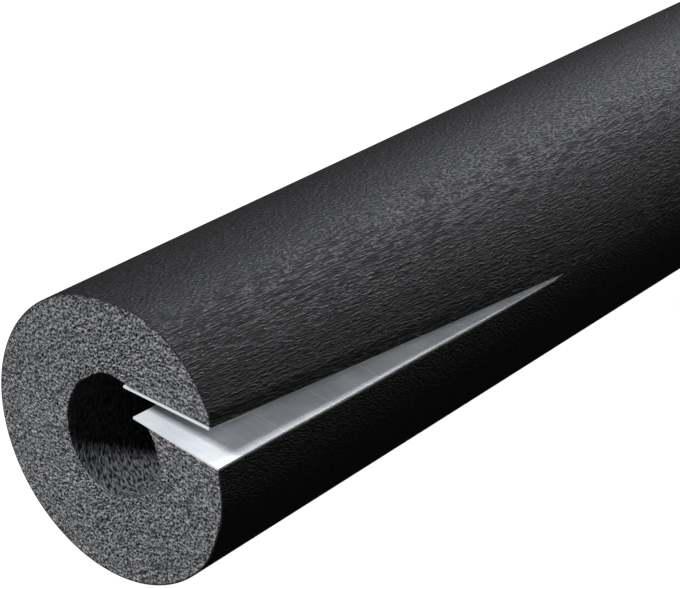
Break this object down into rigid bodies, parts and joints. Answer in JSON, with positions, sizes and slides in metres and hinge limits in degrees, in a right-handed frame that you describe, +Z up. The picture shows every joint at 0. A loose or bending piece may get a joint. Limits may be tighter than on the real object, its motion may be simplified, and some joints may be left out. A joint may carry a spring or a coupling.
{
  "type": "pipe insulation lagging",
  "caption": "Slit length of black foam pipe lagging with self-sealing edges under release liners, its slit sprung open at one end.",
  "frame": {"origin": "on the floor, under the middle of the tube's length", "axes": "+X along the tube from its sprung-open end to its shut end, -Y the side of the slit, +Z up"},
  "size_m": [1, 0.0668, 0.0669],
  "materials": {
    "foam": "black closed-cell elastomeric foam, leathery skin outside, cut cells on its ends",
    "liner": "silvery white release film, satin"
  },
  "bodies": {
    "root": {"foam_tube": "foam", "upper_release_liner": "liner", "lower_release_liner": "liner"}
  },
  "joints": []
}
